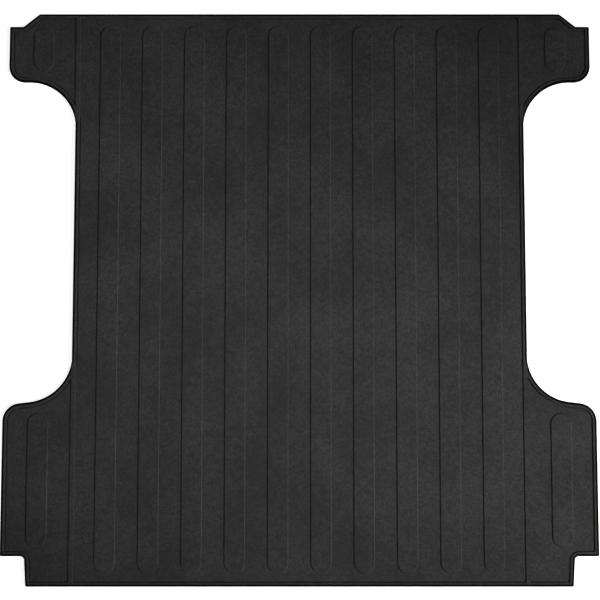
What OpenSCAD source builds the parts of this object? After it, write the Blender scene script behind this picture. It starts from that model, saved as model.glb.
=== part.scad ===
// Rubber truck bed mat: the flat liner that lies on the floor of a pickup bed.
//
// A centre panel fills the floor between the wheel wells. At each of its corners a wing
// runs out to the side of the bed, in front of or behind the wheel well, and flexes up
// about its seam with the panel. Every piece is one moulding: a sheet with a raised rim
// and ribs on top and round nibs underneath.
//
// +X is to the right, +Y is towards the cab, and the origin is the middle of the
// underside. The wings are drawn for the right side and mirrored to the left.

/* [Outline] */
// Length from the cab edge to the tailgate edge
mat_length = 1618; // [1580:2:1660]
// Width across the wings
mat_width = 1660; // [1640:2:1680]
// Width of the centre panel, which is the waist between the wheel wells
waist_width = 1277; // [1264:1:1286]
// Radius of the small corners, where the outline isn't said to be rounder
small_r = 4; // [1:1:8]

/* [Front wings] */
// Distance from the cab edge back to the wing's rear edge
front_wing_depth = 200; // [185:1:215]
// Radius of the sweep from the front wing into the waist
front_sweep_r = 132; // [100:1:140]
// Radius of the wing's outer rear corner
front_corner_r = 47; // [20:1:60]
// Distance from the cab edge back to the step that clears the bulkhead corner
front_step_depth = 37; // [30:1:50]
// Width of the step
front_step_width = 39; // [30:1:50]
// Width of the slanting side of the step
front_slant_width = 46; // [30:1:60]

/* [Rear wings] */
// Distance from the tailgate edge forward to the wing's front edge, at the waist
rear_wing_depth = 522; // [490:1:540]
// How far the front edge falls back on its way out to the side
rear_edge_fall = 22; // [0:1:30]
// Radius of the sweep from the waist into the rear wing
rear_sweep_r = 134; // [100:1:140]
// Radius of the wing's outer front corner
rear_corner_r = 50; // [20:1:60]
// Depth of the notch that clears the tailgate pillar
notch_depth = 83; // [60:1:100]
// Width of the notch
notch_width = 67; // [50:1:90]
// How far the notch's long side slants
notch_slant = 5; // [0:1:10]
// Radius of the notch's inner corner
notch_r = 11; // [4:1:20]

/* [Thickness] */
// Height of the nibs under the sheet
nib_height = 2.5; // [1:0.5:4]
// Thickness of the plain sheet
sheet_thickness = 5; // [3:0.5:7]
// Height of the rim and the ribs above the sheet
relief_height = 2; // [1:0.5:3]

/* [Rim and ribs] */
// Width of the rim around the edge
rim_width = 12; // [8:1:16]
// Number of ribs on the centre panel
rib_count = 10; // [8:2:10]
// Distance from one rib to the next
rib_pitch = 120; // [110:1:124]
// Width of a rib
rib_width = 56; // [40:1:60]
// Distance from the end of a centre rib to the edge of the mat
rib_margin = 37; // [25:1:60]
// Distance from the middle of the mat to the wing ribs
wing_rib_x = 730; // [720:1:740]
// Length of the front wing's rib
front_rib_length = 128; // [110:1:140]
// Distance from the cab edge to the front wing's rib
front_rib_margin = 40; // [30:1:45]
// Length of the rear wing's rib
rear_rib_length = 370; // [300:1:380]
// Distance from the tailgate edge to the rear wing's rib
rear_rib_margin = 107; // [95:1:115]

/* [Nibs] */
// Diameter of a nib
nib_diameter = 12; // [8:1:16]
// Distance from one nib to the next
nib_pitch = 40; // [40:10:60]
// Clear rubber kept between a nib and the edge of its piece
nib_edge_gap = 4; // [2:1:6]

/* [Hidden] */
$fn = 64;
// The outline's arcs are finer, because a wing's tip depends on where one ends
outline_fn = 360;
charcoal = "#2d2d30";

half_length = mat_length / 2;
half_width = mat_width / 2;
seam_x = waist_width / 2;
sheet_top = nib_height + sheet_thickness;
thickness = sheet_top + relief_height;
// A sweep would run on this far inside the seam, so a wing ends in a point and not in a
// feather edge
tip = 1;
// Shapes that cut run on this far past what they cut
past = 1;

front_wing_y = half_length - front_wing_depth;
rear_wing_y = rear_wing_depth - half_length;
notch_y = notch_depth - half_length;
step_x = half_width - front_step_width;
notch_x = half_width - notch_width;

// The right-hand corners of the mat, clockwise from the cab edge: [x, y, radius]
corners = [
    [-past, half_length, 0],
    [step_x - front_slant_width, half_length, small_r],
    [step_x, half_length - front_step_depth, small_r],
    [half_width, half_length - front_step_depth, small_r],
    [half_width, front_wing_y, front_corner_r],
    [seam_x - tip, front_wing_y, front_sweep_r],
    [seam_x - tip, rear_wing_y, rear_sweep_r],
    [half_width, rear_wing_y - rear_edge_fall, rear_corner_r],
    [half_width, notch_y, small_r],
    [notch_x, notch_y, notch_r],
    [notch_x - notch_slant, -half_length, small_r],
    [-past, -half_length, 0]
];

// --- Outlines with rounded corners -----------------------------------------------------

function spot(corner) = [corner[0], corner[1]];
function heading(from, to) = (spot(to) - spot(from)) / norm(spot(to) - spot(from));
// To the right of a heading, which is inwards on a clockwise outline
function inward(h) = [h[1], -h[0]];
// Positive where a clockwise outline turns right, which is at an outer corner
function turn(u, v) = u[1] * v[0] - u[0] * v[1];

function before(list, i) = list[(i + len(list) - 1) % len(list)];
function after(list, i) = list[(i + 1) % len(list)];

// The same outline, moved inwards by a distance
function inset(list, distance) = [
    for (i = [0:len(list) - 1])
        let (u = heading(before(list, i), list[i]))
        let (v = heading(list[i], after(list, i)))
        let (move = (inward(u) + inward(v)) / (1 + inward(u) * inward(v)))
        let (r = list[i][2])
        let (new_r = turn(u, v) > 0 ? r - distance : r + distance)
        [each spot(list[i]) + distance * move, r > 0 ? max(new_r, 0) : 0]
];

// Length of the straight side that a rounded corner takes away
function tangent(list, i) =
    let (u = heading(before(list, i), list[i]))
    let (v = heading(list[i], after(list, i)))
    list[i][2] * tan(acos(u * v) / 2);

// Centre of a corner's arc
function arc_centre(list, i) =
    let (u = heading(before(list, i), list[i]))
    let (v = heading(list[i], after(list, i)))
    let (side = turn(u, v) > 0 ? 1 : -1)
    spot(list[i]) - u * tangent(list, i) + side * inward(u) * list[i][2];

// The piece of a corner between its point and its arc, reaching a little past the point so
// that it shares no side with the outline
module corner_patch(list, i) {
    u = heading(before(list, i), list[i]);
    v = heading(list[i], after(list, i));
    centre = arc_centre(list, i);
    start = spot(list[i]) - u * tangent(list, i);
    end = spot(list[i]) + v * tangent(list, i);
    beyond = spot(list[i]) + (spot(list[i]) - centre) / 4;
    difference() {
        polygon([start, beyond, end, centre]);
        translate(centre) circle(r = list[i][2], $fn = outline_fn);
    }
}

module rounded(list) {
    function outer(i) =
        turn(heading(before(list, i), list[i]), heading(list[i], after(list, i))) > 0;
    round_ones = [for (i = [0:len(list) - 1]) if (list[i][2] > 0) i];
    difference() {
        union() {
            polygon([for (corner = list) spot(corner)]);
            for (i = round_ones) if (!outer(i)) corner_patch(list, i);
        }
        for (i = round_ones) if (outer(i)) corner_patch(list, i);
    }
}

// --- Ribs and nibs -----------------------------------------------------------------------

module rib(x, y, length) {
    straight = length - rib_width;
    translate([x, y]) {
        square([rib_width, straight], center = true);
        for (end = [-1, 1]) translate([0, end * straight / 2]) circle(d = rib_width);
    }
}

// Nib positions along one axis, symmetric about the middle of the mat
function nib_row(reach) = [for (at = [nib_pitch / 2:nib_pitch:reach]) each [-at, at]];

// True if a point is inside a loop of straight sides
function in_loop(point, loop) =
    let (crossed = [
        for (i = [0:len(loop) - 1])
            let (a = loop[i])
            let (b = after(loop, i))
            if ((a[1] > point[1]) != (b[1] > point[1]))
            if (point[0] < a[0] + (b[0] - a[0]) * (point[1] - a[1]) / (b[1] - a[1])) 1
    ])
    len(crossed) % 2 == 1;

// A rounded outline as a loop of straight sides
function loop_of(list, steps = 8) = [
    for (i = [0:len(list) - 1])
        if (list[i][2] == 0) spot(list[i])
        else
            let (start = spot(list[i]) - heading(before(list, i), list[i]) * tangent(list, i))
            let (end = spot(list[i]) + heading(list[i], after(list, i)) * tangent(list, i))
            let (centre = arc_centre(list, i))
            for (k = [0:steps])
                let (chord = start + (end - start) * k / steps - centre)
                centre + chord / norm(chord) * list[i][2]
];

module nibs(points) {
    for (point = points)
        translate(point) cylinder(d = nib_diameter, h = nib_height + past);
}

// --- Pieces --------------------------------------------------------------------------------

// A sheet with a raised rim: the first child is its outline, the second is the same outline
// inside the rim, and the rest are the ribs left standing
module moulding() {
    color(charcoal) {
        difference() {
            translate([0, 0, nib_height])
                linear_extrude(thickness - nib_height) children(0);
            translate([0, 0, sheet_top]) linear_extrude(relief_height + past)
                difference() {
                    children(1);
                    children(2);
                }
        }
        children(3);
    }
}

module centre_panel() {
    rib_length = mat_length - 2 * rib_margin;
    nib_keep = nib_diameter / 2 + nib_edge_gap;
    nib_points = [
        for (x = nib_row(seam_x - nib_keep))
            for (y = nib_row(half_length - nib_keep)) [x, y]
    ];
    moulding() {
        square([waist_width, mat_length], center = true);
        square([waist_width - 2 * rim_width, mat_length - 2 * rim_width], center = true);
        for (i = [0:rib_count - 1])
            rib((i - (rib_count - 1) / 2) * rib_pitch, 0, rib_length);
        nibs(nib_points);
    }
}

// A right-hand wing with one rib, towards the cab (end = 1) or the tailgate (end = -1)
module wing(end, rib_y, rib_length) {
    nib_keep = nib_diameter / 2 + nib_edge_gap;
    nib_loop = loop_of(inset(corners, nib_keep));
    nib_points = [
        for (x = nib_row(half_width))
            for (y = nib_row(half_length))
                if (x > seam_x + nib_keep && y * end > 0)
                    if (in_loop([x, y], nib_loop)) [x, y]
    ];
    moulding() {
        intersection() {
            rounded(corners);
            translate([seam_x, end > 0 ? 0 : -mat_length])
                square([half_width, mat_length]);
        }
        rounded(inset(corners, rim_width));
        rib(wing_rib_x, rib_y, rib_length);
        nibs(nib_points);
    }
}

module front_right_wing() {
    wing(1, half_length - front_rib_margin - front_rib_length / 2, front_rib_length);
}

module rear_right_wing() {
    wing(-1, rear_rib_margin + rear_rib_length / 2 - half_length, rear_rib_length);
}

module front_left_wing() {
    mirror([1, 0, 0]) front_right_wing();
}

module rear_left_wing() {
    mirror([1, 0, 0]) rear_right_wing();
}

centre_panel();
front_left_wing();
front_right_wing();
rear_left_wing();
rear_right_wing();
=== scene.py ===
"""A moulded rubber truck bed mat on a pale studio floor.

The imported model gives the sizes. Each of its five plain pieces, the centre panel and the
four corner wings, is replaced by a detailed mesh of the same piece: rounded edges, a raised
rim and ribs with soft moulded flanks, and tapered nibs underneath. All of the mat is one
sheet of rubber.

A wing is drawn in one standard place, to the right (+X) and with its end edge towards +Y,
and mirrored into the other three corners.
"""
import math

import bmesh
import bpy
from mathutils import Matrix, Vector
from mathutils.geometry import delaunay_2d_cdt


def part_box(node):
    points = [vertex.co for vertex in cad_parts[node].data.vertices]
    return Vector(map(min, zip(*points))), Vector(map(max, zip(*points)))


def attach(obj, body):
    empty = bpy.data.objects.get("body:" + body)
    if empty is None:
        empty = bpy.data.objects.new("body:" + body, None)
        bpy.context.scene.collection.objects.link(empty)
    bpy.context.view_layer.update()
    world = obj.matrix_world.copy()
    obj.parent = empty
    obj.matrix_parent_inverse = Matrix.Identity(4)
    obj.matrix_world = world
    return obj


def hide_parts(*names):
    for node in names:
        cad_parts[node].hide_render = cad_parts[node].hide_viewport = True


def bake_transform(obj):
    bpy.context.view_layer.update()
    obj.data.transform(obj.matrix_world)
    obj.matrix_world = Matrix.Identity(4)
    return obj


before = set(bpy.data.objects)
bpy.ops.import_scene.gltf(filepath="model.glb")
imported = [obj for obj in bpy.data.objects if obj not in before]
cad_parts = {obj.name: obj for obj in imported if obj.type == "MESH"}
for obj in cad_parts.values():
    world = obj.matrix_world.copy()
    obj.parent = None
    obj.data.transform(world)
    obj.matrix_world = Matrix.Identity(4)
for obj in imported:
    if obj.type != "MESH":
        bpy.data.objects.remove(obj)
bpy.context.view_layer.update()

MM = 0.001

# --- Sizes from the frame -----------------------------------------------------------------

panel_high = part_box("centre_panel")[1]
SEAM_X = panel_high[0]
HALF_LENGTH = panel_high[1]
TOP = panel_high[2]
HALF_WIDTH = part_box("front_right_wing")[1][0]

# --- Sizes of the moulding, in metres -----------------------------------------------------

NIB_HEIGHT = 2.5 * MM
RELIEF = 2.0 * MM
SHEET_TOP = TOP - RELIEF

RIM_WIDTH = 12 * MM
RIB_PITCH = 120 * MM
RIB_COUNT = 10
RIB_WIDTH = 56 * MM
RIB_MARGIN = 37 * MM
WING_RIB_X = 730 * MM

FRONT_RIB_LENGTH = 128 * MM  # of the ribs on the front wings
FRONT_RIB_MARGIN = 40 * MM  # from the end edge to those ribs
REAR_RIB_LENGTH = 370 * MM
REAR_RIB_MARGIN = 107 * MM

LOW_ROUND = 1.0 * MM  # rounding of the mat's outer edge underneath
TOP_ROUND = 5.0 * MM  # height of the rounding on top
TOP_ROUND_WIDTH = 6.5 * MM  # and its width
FLANK = 1.3 * MM  # width of a rib's sloping side
GROOVE_DEPTH = 2.0 * MM  # of the fine groove along the foot of the rim

TIP_BLEND = 20 * MM  # along the seam from a wing's tip, where the panel's rounding fades out

NIB_PITCH = 40 * MM
NIB_RADIUS = 6 * MM
NIB_KEEP = 10 * MM  # from a nib's middle to the edge of its piece

# --- Fineness of the meshes ---------------------------------------------------------------

LOW_ROUND_STEPS = 3
TOP_ROUND_STEPS = 6
FLANK_STEPS = 6
NIB_SIDES = 12
ARC_STEPS = 10
SWEEP_STEPS = 28
RIB_END_STEPS = 14
PANEL_SPACING = 24 * MM  # between points along the panel's straight sides
WING_SPACING = 8 * MM  # the same on a wing
WING_MARGIN = WING_SPACING * 0.6  # from a wing's outlines to the loose points between them
RIB_CLEARANCE = 5 * MM  # from a wing's rib to the loose points around it
SHARP_ANGLE = 40  # degrees, above which an edge isn't shaded smooth
SAME_PLACE = 1e-6  # vertices closer than this are merged
SAME_PLACE_FLAT = 1e-7  # and so are corners of the flat areas

# --- Corners of the wings -----------------------------------------------------------------

# In the standard place, clockwise from the end edge: x, y, radius. The last but one is the
# sweep into the waist, and the last only gives the direction in which it ends.
SMALL_R = 4 * MM
TIP = 1 * MM  # a sweep would run on this far inside the seam
STEP_X = HALF_WIDTH - 39 * MM
STEP_Y = HALF_LENGTH - 37 * MM
FRONT_Y = HALF_LENGTH - 200 * MM
FRONT_CORNERS = [
    (0, HALF_LENGTH, 0),
    (STEP_X - 46 * MM, HALF_LENGTH, SMALL_R),
    (STEP_X, STEP_Y, SMALL_R),
    (HALF_WIDTH, STEP_Y, SMALL_R),
    (HALF_WIDTH, FRONT_Y, 47 * MM),
    (SEAM_X - TIP, FRONT_Y, 132 * MM),
    (SEAM_X - TIP, 0, 0),
]
NOTCH_X = HALF_WIDTH - 67 * MM
NOTCH_Y = HALF_LENGTH - 83 * MM
REAR_Y = HALF_LENGTH - 522 * MM
REAR_CORNERS = [
    (0, HALF_LENGTH, 0),
    (NOTCH_X - 5 * MM, HALF_LENGTH, SMALL_R),
    (NOTCH_X, NOTCH_Y, 11 * MM),
    (HALF_WIDTH, NOTCH_Y, SMALL_R),
    (HALF_WIDTH, REAR_Y + 22 * MM, 50 * MM),
    (SEAM_X - TIP, REAR_Y, 134 * MM),
    (SEAM_X - TIP, 0, 0),
]

# --- Studio, in metres, degrees and watts -------------------------------------------------

FLOOR_REACH = 70.0

HORIZON_LIGHT = 0.85  # brightness of the surroundings just above the floor
ROOM_LIGHT = 0.025  # and overhead
FADE_START = 0.14  # how steeply up the surroundings begin to darken, as a sine
FADE_END = 0.24

CAMERA_LENS = 75  # millimetres
CAMERA_SENSOR = 36
CAMERA_TARGET = (1.4 * MM, -14.4 * MM, TOP)
CAMERA_TILT = 4.81  # from straight above, towards the tailgate end
CAMERA_DISTANCE = 3.5146

# --- Outlines -----------------------------------------------------------------------------


def heading(corners, i):
    """Direction of the side that starts at corner i."""
    a = Vector(corners[i][:2])
    b = Vector(corners[i + 1][:2])
    return (b - a).normalized()


def inward(direction):
    """To the right of a direction, which is inwards on a clockwise outline."""
    return Vector((direction.y, -direction.x))


def turns_in(u, v):
    """True at an outer corner of a clockwise outline."""
    return u.y * v.x - u.x * v.y > 0


def inset(corners, distance):
    """The same open outline, moved inwards."""
    moved = []
    for i, (x, y, radius) in enumerate(corners):
        u = heading(corners, max(i - 1, 0))
        v = heading(corners, min(i, len(corners) - 2))
        step = (inward(u) + inward(v)) / (1 + inward(u).dot(inward(v)))
        point = Vector((x, y)) + distance * step
        new_radius = radius - distance if turns_in(u, v) else radius + distance
        moved.append((point.x, point.y, max(new_radius, 0) if radius else 0))
    return moved


def spread(a, b, count):
    """Points from a up to, but not with, b."""
    return [a.lerp(b, k / count) for k in range(count)]


def wing_path(corners, distance):
    """The free edge of a wing, moved inwards, from the seam at the end edge round to the seam
    at the sweep. It has the same number of points at every distance."""
    moved = inset(corners, distance)
    path = []
    here = Vector((SEAM_X, moved[0][1]))
    nominal = Vector((SEAM_X, corners[0][1]))
    for i in range(1, len(corners) - 1):
        x, y, radius = moved[i]
        corner = Vector((x, y))
        u = heading(moved, i - 1)
        v = heading(moved, i)
        angle = u.angle(v)
        back = radius * math.tan(angle / 2)
        start = corner - u * back
        next_nominal = Vector(corners[i][:2])
        count = max(1, round((next_nominal - nominal).length / WING_SPACING))
        path += spread(here, start, count)
        nominal = next_nominal
        if corners[i][2] == 0:
            here = corner
            continue
        side = 1 if turns_in(u, v) else -1
        centre = start + side * inward(u) * radius
        first = math.atan2((start - centre).y, (start - centre).x) if radius else 0
        last = first - side * angle
        steps = ARC_STEPS
        if i == len(corners) - 2:
            steps = SWEEP_STEPS
            last = math.acos((SEAM_X - centre.x) / radius)
        arc = [
            centre + radius * Vector((math.cos(a), math.sin(a)))
            for a in (first + (last - first) * k / steps for k in range(steps + 1))
        ]
        path += arc[:-1]
        here = arc[-1]
    return path + [here]


# The waist reaches from the front wings' tips to the rear wings' tips
WAIST_FRONT = wing_path(FRONT_CORNERS, 0)[-1].y
WAIST_REAR = -wing_path(REAR_CORNERS, 0)[-1].y


def at_seam(y):
    """True where the panel's side touches a wing."""
    return y > WAIST_FRONT + MM or y < WAIST_REAR - MM


def panel_path(distance, outer):
    """The centre panel's outline, moved inwards, as a closed loop. The outer side of the
    panel is rounded along the waist and the ends, but not along the seams."""
    stops = [
        HALF_LENGTH, WAIST_FRONT + TIP_BLEND, WAIST_FRONT,
        WAIST_REAR, WAIST_REAR - TIP_BLEND, -HALF_LENGTH,
    ]
    along = []
    for low, high in zip(stops[1:], stops):
        count = max(1, round((high - low) / PANEL_SPACING))
        along += [high + (low - high) * k / count for k in range(count)]
    along.append(-HALF_LENGTH)
    side = []
    for y in along:
        moved = 0 if outer and at_seam(y) else distance
        limit = HALF_LENGTH - distance
        side.append(Vector((SEAM_X - moved, min(max(y, -limit), limit))))
    across = round(2 * SEAM_X / PANEL_SPACING)
    left = [Vector((-p.x, p.y)) for p in reversed(side)]
    path = side + spread(side[-1], left[0], across)[1:]
    return path + left + spread(left[-1], side[0], across)[1:]


def rib_path(x, y, length, grow, spacing):
    """A rib's outline, made bigger by grow, as a closed loop."""
    radius = RIB_WIDTH / 2 + grow
    reach = (length - RIB_WIDTH) / 2
    count = max(2, round(2 * reach / spacing))
    path = []
    for end in (1, -1):
        centre = Vector((x, y + end * reach))
        path += [
            centre + end * radius * Vector((math.cos(a), math.sin(a)))
            for a in (math.pi * k / RIB_END_STEPS for k in range(RIB_END_STEPS))
        ]
        side = Vector((-end * radius, 0))
        path += spread(centre + side, centre + side - Vector((0, end * 2 * reach)), count)
    return path


def circle(centre, radius, sides):
    """A circle as a closed loop."""
    angles = [2 * math.pi * (k + 0.5) / sides for k in range(sides)]
    return [centre + radius * Vector((math.cos(a), math.sin(a))) for a in angles]


def inside(point, loop):
    """True if a point is inside a closed loop."""
    found = False
    for a, b in zip(loop, loop[1:] + loop[:1]):
        if (a.y > point.y) != (b.y > point.y):
            if point.x < a.x + (b.x - a.x) * (point.y - a.y) / (b.y - a.y):
                found = not found
    return found


# --- Cross-sections -----------------------------------------------------------------------


def flank(out_at, in_at, low, high):
    """A smooth S from (out_at, low) to (in_at, high), as (distance, height) pairs."""
    pairs = []
    for k in range(FLANK_STEPS + 1):
        t = k / FLANK_STEPS
        ease = (1 - math.cos(math.pi * t)) / 2
        pairs.append((out_at + (in_at - out_at) * t, low + (high - low) * ease))
    return pairs


def outer_side():
    """The mat's outer side, rounded a little at the bottom and more at the top."""
    pairs = []
    for k in range(LOW_ROUND_STEPS + 1):
        a = math.pi / 2 * k / LOW_ROUND_STEPS
        height = NIB_HEIGHT + LOW_ROUND * (1 - math.cos(a))
        pairs.append((LOW_ROUND * (1 - math.sin(a)), height))
    for k in range(TOP_ROUND_STEPS + 1):
        a = math.pi / 2 * k / TOP_ROUND_STEPS
        height = TOP - TOP_ROUND * (1 - math.sin(a))
        pairs.append((TOP_ROUND_WIDTH * (1 - math.cos(a)), height))
    return pairs


OUTER_ROWS = len(outer_side()) - 1  # rows of quads up the outer side

# From the underside up the outer side, over the rim and through the groove to the sheet, as
# (distance inwards, height)
RIM_SECTION = outer_side() + [
    (RIM_WIDTH - 0.7 * MM, TOP),
    (RIM_WIDTH - 0.2 * MM, TOP - 0.2 * MM),
    (RIM_WIDTH + 0.2 * MM, SHEET_TOP - GROOVE_DEPTH * 0.7),
    (RIM_WIDTH + 0.6 * MM, SHEET_TOP - GROOVE_DEPTH),
    (RIM_WIDTH + 2.6 * MM, SHEET_TOP - GROOVE_DEPTH),
    (RIM_WIDTH + 3.2 * MM, SHEET_TOP - GROOVE_DEPTH * 0.5),
    (RIM_WIDTH + 3.9 * MM, SHEET_TOP),
]
# From the sheet up to the top of a rib, by how much bigger than the rib's nominal outline
RIB_SECTION = flank(FLANK / 2, -FLANK / 2, SHEET_TOP, TOP)
# From the underside down to the tip of a nib, as (radius, height)
NIB_SECTION = [
    (NIB_RADIUS, NIB_HEIGHT),
    (NIB_RADIUS - 0.8 * MM, NIB_HEIGHT - 0.7 * MM),
    (NIB_RADIUS - 1.3 * MM, 0.4 * MM),
    (NIB_RADIUS - 2.0 * MM, 0),
]

# --- Mesh building ------------------------------------------------------------------------


def row(bm, points, z):
    """New vertices at one height."""
    return [bm.verts.new((p.x, p.y, z)) for p in points]


def bridge(bm, first, second, closed, material):
    """Quads between two rows of vertices, with a material given by its number."""
    count = len(first)
    for k in range(count if closed else count - 1):
        n = (k + 1) % count
        face = bm.faces.new((first[k], first[n], second[n], second[k]))
        face.material_index = material


def skin(bm, rows, closed, outer_rows=0):
    """Quads between each row of vertices and the next. The first few rows of quads are the
    outer side, which has the second material."""
    for k, (first, second) in enumerate(zip(rows, rows[1:])):
        bridge(bm, first, second, closed, 1 if k < outer_rows else 0)


def anticlockwise(loop, flat):
    """A loop of indices into flat points, turned round if it runs clockwise."""
    pairs = zip(loop, loop[1:] + loop[:1])
    area = sum(flat[a].x * flat[b].y - flat[b].x * flat[a].y for a, b in pairs)
    return loop if area > 0 else loop[::-1]


def fill(bm, outer, holes=(), extra=(), axes=(0, 1)):
    """Triangles over a flat area inside a closed loop of vertices, leaving the holes open.
    extra are loose vertices inside it, and axes are the two axes that the area lies along."""
    u, v = axes
    verts = []
    loops = []
    for loop in (outer, *holes):
        loops.append(list(range(len(verts), len(verts) + len(loop))))
        verts += loop
    verts += extra
    flat = [Vector((w.co[u], w.co[v])) for w in verts]
    loops = [anticlockwise(loop, flat) for loop in loops]
    result = delaunay_2d_cdt(flat, [], loops, 1, SAME_PLACE_FLAT)
    faces = result[2]
    came_from = result[3]
    belongs_to = result[5]
    for face, owners in zip(faces, belongs_to):
        if list(owners) == [0]:
            bm.faces.new([verts[came_from[k][0]] for k in face])


def grid(low, high, spacing, wanted):
    """Evenly spaced points in a box, those that are wanted."""
    across = round((high[0] - low[0]) / spacing)
    along = round((high[1] - low[1]) / spacing)
    points = []
    for i in range(1, across):
        for j in range(1, along):
            x = low[0] + (high[0] - low[0]) * i / across
            y = low[1] + (high[1] - low[1]) * j / along
            if wanted(Vector((x, y))):
                points.append(Vector((x, y)))
    return points


def add_rib(bm, x, y, length, spacing):
    """A rib standing on the sheet. Returns the loop of vertices around its foot."""
    rows = [
        row(bm, rib_path(x, y, length, grow, spacing), z) for grow, z in RIB_SECTION
    ]
    skin(bm, rows, closed=True)
    fill(bm, rows[-1])
    return rows[0]


def add_nib(bm, centre):
    """A tapered nib under the sheet. Returns the loop of vertices around its root."""
    rows = [row(bm, circle(centre, radius, NIB_SIDES), z) for radius, z in NIB_SECTION]
    skin(bm, rows, closed=True)
    bm.faces.new(rows[-1])
    return rows[0]


def nib_row(reach):
    """Nib positions along one axis, symmetric about the middle of the mat."""
    count = int(reach / NIB_PITCH + 0.5)
    return [side * (k + 0.5) * NIB_PITCH for k in range(count) for side in (-1, 1)]


def clear_of_rib(point, x, y, length):
    """True if a point is well outside a rib."""
    reach = (length - RIB_WIDTH) / 2
    nearest = Vector((x, min(max(point.y, y - reach), y + reach)))
    return (point - nearest).length > RIB_WIDTH / 2 + RIB_CLEARANCE


def as_piece(bm, name, node):
    """The finished mesh as an object with smooth shading, standing for a node."""
    bmesh.ops.remove_doubles(bm, verts=bm.verts, dist=SAME_PLACE)
    bmesh.ops.recalc_face_normals(bm, faces=bm.faces)
    mesh = bpy.data.meshes.new(name)
    bm.to_mesh(mesh)
    bm.free()
    mesh.shade_smooth()
    mesh.set_sharp_from_angle(angle=math.radians(SHARP_ANGLE))
    piece = bpy.data.objects.new(name, mesh)
    bpy.context.collection.objects.link(piece)
    weighted = piece.modifiers.new("flat_faces_stay_flat", "WEIGHTED_NORMAL")
    weighted.keep_sharp = True
    weighted.weight = 100
    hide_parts(node)
    return piece


# --- Pieces -------------------------------------------------------------------------------


def make_panel():
    """The centre panel, with its rim, its ribs and its nibs."""
    bm = bmesh.new()
    rows = [
        row(bm, panel_path(distance, k <= OUTER_ROWS), z)
        for k, (distance, z) in enumerate(RIM_SECTION)
    ]
    # The groove of the panel's rim runs along the waist and the ends, but not along the seams
    for vertex in [v for r in rows for v in r if v.co.z > NIB_HEIGHT]:
        beside_seam = at_seam(vertex.co.y) and abs(vertex.co.y) < HALF_LENGTH - PANEL_SPACING
        if beside_seam and abs(vertex.co.x) < SEAM_X - RIM_WIDTH:
            vertex.co.z = max(vertex.co.z, SHEET_TOP)
    skin(bm, rows, closed=True, outer_rows=OUTER_ROWS)
    length = 2 * (HALF_LENGTH - RIB_MARGIN)
    middles = [(i - (RIB_COUNT - 1) / 2) * RIB_PITCH for i in range(RIB_COUNT)]
    feet = [add_rib(bm, x, 0, length, PANEL_SPACING) for x in middles]
    fill(bm, rows[-1], feet)
    roots = [
        add_nib(bm, Vector((x, y)))
        for x in nib_row(SEAM_X - NIB_KEEP)
        for y in nib_row(HALF_LENGTH - NIB_KEEP)
    ]
    fill(bm, rows[0], roots)
    piece = as_piece(bm, "centre_panel_rubber", "centre_panel")
    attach(piece, "panel")
    return piece


def make_wing(node, corners, rib_y, rib_length, mirror_x, mirror_y):
    """A corner wing, with its rim, its rib and its nibs, mirrored into its corner."""
    bm = bmesh.new()
    rows = [row(bm, wing_path(corners, distance), z) for distance, z in RIM_SECTION]
    skin(bm, rows, closed=False, outer_rows=OUTER_ROWS)

    def seam_line(start, end):
        count = max(2, round(abs(end.co.y - start.co.y) / WING_SPACING))
        return [bm.verts.new(start.co.lerp(end.co, k / count)) for k in range(1, count)]

    top_seam = seam_line(rows[-1][-1], rows[-1][0])
    low_seam = seam_line(rows[0][-1], rows[0][0])
    foot = add_rib(bm, WING_RIB_X, rib_y, rib_length, WING_SPACING)

    inner = wing_path(corners, RIM_SECTION[-1][0] + WING_MARGIN)
    loose = grid(
        (SEAM_X, 0), (HALF_WIDTH, HALF_LENGTH), WING_SPACING,
        lambda p: inside(p, inner) and clear_of_rib(p, WING_RIB_X, rib_y, rib_length),
    )
    fill(bm, rows[-1] + top_seam, [foot], row(bm, loose, SHEET_TOP))

    nib_area = wing_path(corners, NIB_KEEP)
    spots = [Vector((x, y)) for x in nib_row(HALF_WIDTH) for y in nib_row(HALF_LENGTH)]
    nib_spots = [p for p in spots if p.x > SEAM_X + NIB_KEEP and inside(p, nib_area)]
    roots = [add_nib(bm, p) for p in nib_spots]
    edge = wing_path(corners, LOW_ROUND + WING_MARGIN)

    def under_grid(p):
        between = all((p - q).length > NIB_RADIUS + WING_MARGIN for q in nib_spots)
        return between and inside(p, edge)

    loose = grid((SEAM_X, 0), (HALF_WIDTH, HALF_LENGTH), WING_SPACING, under_grid)
    fill(bm, rows[0] + low_seam, roots, row(bm, loose, NIB_HEIGHT))

    start = [r[0] for r in rows]
    end = [r[-1] for r in rows]
    fill(bm, start + top_seam[::-1] + end[::-1] + low_seam, axes=(1, 2))

    bmesh.ops.transform(bm, matrix=Matrix.Diagonal((mirror_x, mirror_y, 1, 1)), verts=bm.verts)
    piece = as_piece(bm, node + "_rubber", node)
    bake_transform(piece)
    return piece


def make_wings():
    """The four wings: the front pair and the rear pair, each right and left."""
    front_rib_y = HALF_LENGTH - FRONT_RIB_MARGIN - FRONT_RIB_LENGTH / 2
    rear_rib_y = HALF_LENGTH - REAR_RIB_MARGIN - REAR_RIB_LENGTH / 2
    pieces = []
    for side, mirror_x in (("right", 1), ("left", -1)):
        pieces.append(make_wing(
            f"front_{side}_wing", FRONT_CORNERS,
            front_rib_y, FRONT_RIB_LENGTH, mirror_x, 1,
        ))
        pieces.append(make_wing(
            f"rear_{side}_wing", REAR_CORNERS,
            rear_rib_y, REAR_RIB_LENGTH, mirror_x, -1,
        ))
    return pieces


# --- Rubber -------------------------------------------------------------------------------


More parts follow.
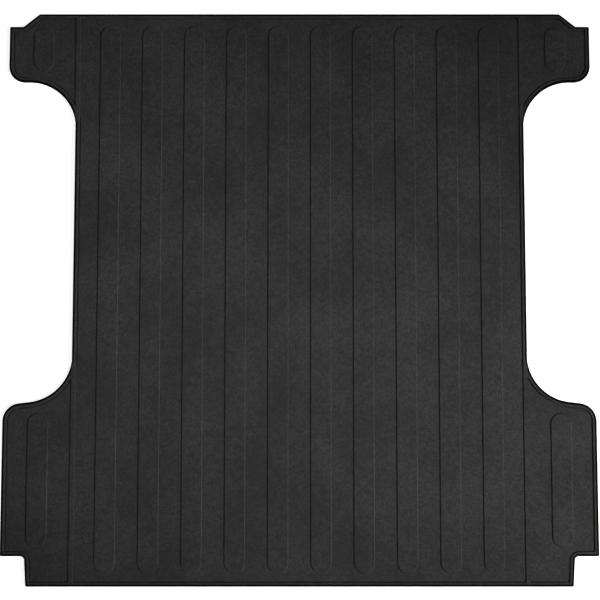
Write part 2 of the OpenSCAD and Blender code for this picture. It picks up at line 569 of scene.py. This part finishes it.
class Nodes:
    """Short calls for building one material's nodes."""

    def __init__(self, name):
        self.material = bpy.data.materials.new(name)
        self.material.use_nodes = True
        self.tree = self.material.node_tree
        self.shader = self.tree.nodes["Principled BSDF"]
        coordinates = self.tree.nodes.new("ShaderNodeTexCoord")
        self.place = coordinates.outputs["Object"]

    def add(self, kind, inputs=(), **settings):
        node = self.tree.nodes.new(kind)
        for key, value in settings.items():
            setattr(node, key, value)
        for key, value in dict(inputs).items():
            if isinstance(value, bpy.types.NodeSocket):
                self.tree.links.new(value, node.inputs[key])
            else:
                node.inputs[key].default_value = value
        return node

    def noise(self, scale, detail=2, roughness=0.5, place=None):
        inputs = {"Vector": place or self.place, "Scale": scale, "Detail": detail}
        return self.add("ShaderNodeTexNoise", {**inputs, "Roughness": roughness}).outputs["Fac"]

    def stretched(self, scale):
        inputs = {"Vector": self.place, "Scale": scale}
        return self.add("ShaderNodeMapping", inputs).outputs["Vector"]

    def remap(self, value, low, high, to_low=0.0, to_high=1.0):
        inputs = {"Value": value, "From Min": low, "From Max": high}
        inputs.update({"To Min": to_low, "To Max": to_high})
        node = self.add("ShaderNodeMapRange", inputs, interpolation_type="SMOOTHSTEP")
        return node.outputs["Result"]

    def maths(self, operation, a, b):
        return self.add("ShaderNodeMath", {0: a, 1: b}, operation=operation).outputs[0]

    def mix_colour(self, share, a, b):
        node = self.add("ShaderNodeMix", data_type="RGBA")
        sockets = {i.identifier: i for i in node.inputs}
        for key, value in (("Factor_Float", share), ("A_Color", a), ("B_Color", b)):
            if isinstance(value, bpy.types.NodeSocket):
                self.tree.links.new(value, sockets[key])
            else:
                sockets[key].default_value = value
        return {o.identifier: o for o in node.outputs}["Result_Color"]

    def bump(self, height, distance, strength, normal=None):
        inputs = {"Height": height, "Distance": distance, "Strength": strength}
        if normal is not None:
            inputs["Normal"] = normal
        return self.add("ShaderNodeBump", inputs).outputs["Normal"]


def grey(value, warmth=0.0):
    """An opaque grey, a little warmer or cooler."""
    return (value * (1 + warmth), value, value * (1 - warmth), 1.0)


def make_rubber():
    """Matt black rubber with a soft moulded grain, faint mottling, dust and scuffs."""
    n = Nodes("mat_rubber")

    patches = n.noise(4.5, detail=3)
    blotches = n.noise(60, detail=4, roughness=0.65)
    grain = n.noise(150, detail=5, roughness=0.75)
    pebble = n.add(
        "ShaderNodeTexVoronoi",
        {"Vector": n.place, "Scale": 420, "Smoothness": 0.5},
        feature="SMOOTH_F1",
    ).outputs["Distance"]

    # Colour: black with softer, greyer patches
    tone = n.maths("ADD", n.maths("MULTIPLY", patches, 0.5), n.maths("MULTIPLY", blotches, 0.5))
    colour = n.mix_colour(n.remap(tone, 0.36, 0.64), grey(0.024), grey(0.040))
    colour = n.mix_colour(n.remap(grain, 0.40, 0.60, 0.6, 0), colour, grey(0.012))

    # Dust lies in thin smears drawn along the mat, and in a few separate specks
    streaks = n.noise(14, detail=5, roughness=0.65, place=n.stretched((1.0, 0.16, 1.0)))
    smear = n.maths("MULTIPLY", n.remap(streaks, 0.56, 0.74), n.remap(grain, 0.4, 0.7))
    colour = n.mix_colour(n.maths("MULTIPLY", smear, 0.10), colour, grey(0.11, 0.02))
    specks = n.add("ShaderNodeTexVoronoi", {"Vector": n.place, "Scale": 16})
    chosen = n.remap(n.noise(3.1, detail=1), 0.50, 0.56)
    near = n.remap(specks.outputs["Distance"], 0.030, 0.012)
    speck = n.maths("MULTIPLY", near, chosen)
    colour = n.mix_colour(n.maths("MULTIPLY", speck, 0.5), colour, grey(0.26, 0.02))
    n.tree.links.new(colour, n.shader.inputs["Base Color"])

    # Roughness: matt, with slightly polished patches and dull dust
    rough = n.remap(tone, 0.3, 0.7, 0.50, 0.58)
    rough = n.maths("ADD", rough, n.remap(grain, 0.38, 0.62, -0.06, 0.06))
    rough = n.maths("ADD", rough, n.maths("MULTIPLY", smear, 0.12))
    n.tree.links.new(rough, n.shader.inputs["Roughness"])
    n.shader.inputs["Specular IOR Level"].default_value = 0.16

    # Relief: slow waves in the sheet, then the moulded grain, then a fine pebble
    normal = n.bump(n.noise(7, detail=1), 4 * MM, 0.35)
    normal = n.bump(grain, 1.5 * MM, 0.36, normal)
    normal = n.bump(n.remap(pebble, 0.1, 0.8, 1, 0), 0.3 * MM, 0.35, normal)
    n.tree.links.new(normal, n.shader.inputs["Normal"])
    return n.material


def make_painted_shade_edge_rubber():
    """The mat's outer side: the same rubber left dull by the mould, with painted shade: far
    darker than the face, so the side reads as a black outline.
    """
    n = Nodes("mat_rubber_edge_painted_shade")
    rough_skin = n.noise(160, detail=4, roughness=0.6)
    # Painted shade: this near-black colour stands in for the shade along the mat's outer side
    colour = n.mix_colour(n.remap(rough_skin, 0.35, 0.65), grey(0.0016), grey(0.0030))
    n.tree.links.new(colour, n.shader.inputs["Base Color"])
    n.shader.inputs["Roughness"].default_value = 0.8
    n.shader.inputs["Specular IOR Level"].default_value = 0.0
    normal = n.bump(rough_skin, 0.3 * MM, 0.4)
    n.tree.links.new(normal, n.shader.inputs["Normal"])
    return n.material


def make_floor_material():
    """Smooth, nearly white studio floor."""
    n = Nodes("studio_floor")
    tone = n.remap(n.noise(1.5, detail=2), 0.3, 0.7)
    colour = n.mix_colour(tone, grey(0.86), grey(0.88))
    n.tree.links.new(colour, n.shader.inputs["Base Color"])
    n.shader.inputs["Roughness"].default_value = 0.85
    n.shader.inputs["Emission Color"].default_value = (1, 1, 1, 1)
    n.shader.inputs["Emission Strength"].default_value = 0.8
    return n.material


# --- Studio -------------------------------------------------------------------------------


def add_floor():
    """A wide pale floor at the height that the nibs stand on."""
    mesh = bpy.data.meshes.new("studio_floor")
    signs = [(-1, -1), (1, -1), (1, 1), (-1, 1)]
    corners = [(x * FLOOR_REACH, y * FLOOR_REACH, 0) for x, y in signs]
    mesh.from_pydata(corners, [], [(0, 1, 2, 3)])
    mesh.materials.append(make_floor_material())
    floor = bpy.data.objects.new("studio_floor", mesh)
    bpy.context.collection.objects.link(floor)


def aim(thing, target):
    """Turn a light or a camera so that it looks at a point."""
    direction = Vector(target) - thing.location
    thing.rotation_euler = direction.to_track_quat("-Z", "Y").to_euler()


def add_light(name, place, target, size, watts, beam=180):
    """A soft square light, with its beam in degrees."""
    lamp = bpy.data.lights.new(name, "AREA")
    lamp.size = size
    lamp.energy = watts
    lamp.spread = math.radians(beam)
    light = bpy.data.objects.new(name, lamp)
    light.location = place
    bpy.context.collection.objects.link(light)
    aim(light, target)


def add_studio():
    """A dim room with a pale horizon, a narrow key from the right and a weak overhead fill."""
    world = bpy.data.worlds.new("studio")
    world.use_nodes = True
    nodes = world.node_tree.nodes
    links = world.node_tree.links
    direction = nodes.new("ShaderNodeTexCoord")
    height = nodes.new("ShaderNodeSeparateXYZ")
    links.new(direction.outputs["Generated"], height.inputs["Vector"])
    fade = nodes.new("ShaderNodeMapRange")
    fade.inputs["From Min"].default_value = FADE_START
    fade.inputs["From Max"].default_value = FADE_END
    fade.inputs["To Min"].default_value = HORIZON_LIGHT
    fade.inputs["To Max"].default_value = ROOM_LIGHT
    links.new(height.outputs["Z"], fade.inputs["Value"])
    links.new(fade.outputs["Result"], nodes["Background"].inputs["Strength"])
    nodes["Background"].inputs["Color"].default_value = (1, 1, 1, 1)
    bpy.context.scene.world = world
    add_light("key", (14.9, -5.0, 7.9), target=(0.3, -0.2, 0), size=1.6, watts=24.1, beam=10)
    add_light("overhead", (-0.2, -0.35, 3.9), target=(-0.1, -0.2, 0), size=1.1, watts=21)
    bpy.context.scene.view_settings.view_transform = "Standard"


def add_camera():
    """Almost straight above, leaning a little towards the tailgate end."""
    lens = bpy.data.cameras.new("camera")
    lens.lens = CAMERA_LENS
    lens.sensor_width = CAMERA_SENSOR
    lens.clip_end = 100
    camera = bpy.data.objects.new("camera", lens)
    bpy.context.collection.objects.link(camera)
    tilt = math.radians(CAMERA_TILT)
    away = Vector((0, -math.sin(tilt), math.cos(tilt)))
    camera.location = Vector(CAMERA_TARGET) + CAMERA_DISTANCE * away
    aim(camera, CAMERA_TARGET)
    bpy.context.scene.camera = camera


add_camera()
rubbers = make_rubber(), make_painted_shade_edge_rubber()
for made in [make_panel()] + make_wings():
    for rubber in rubbers:
        made.data.materials.append(rubber)
add_floor()
add_studio()
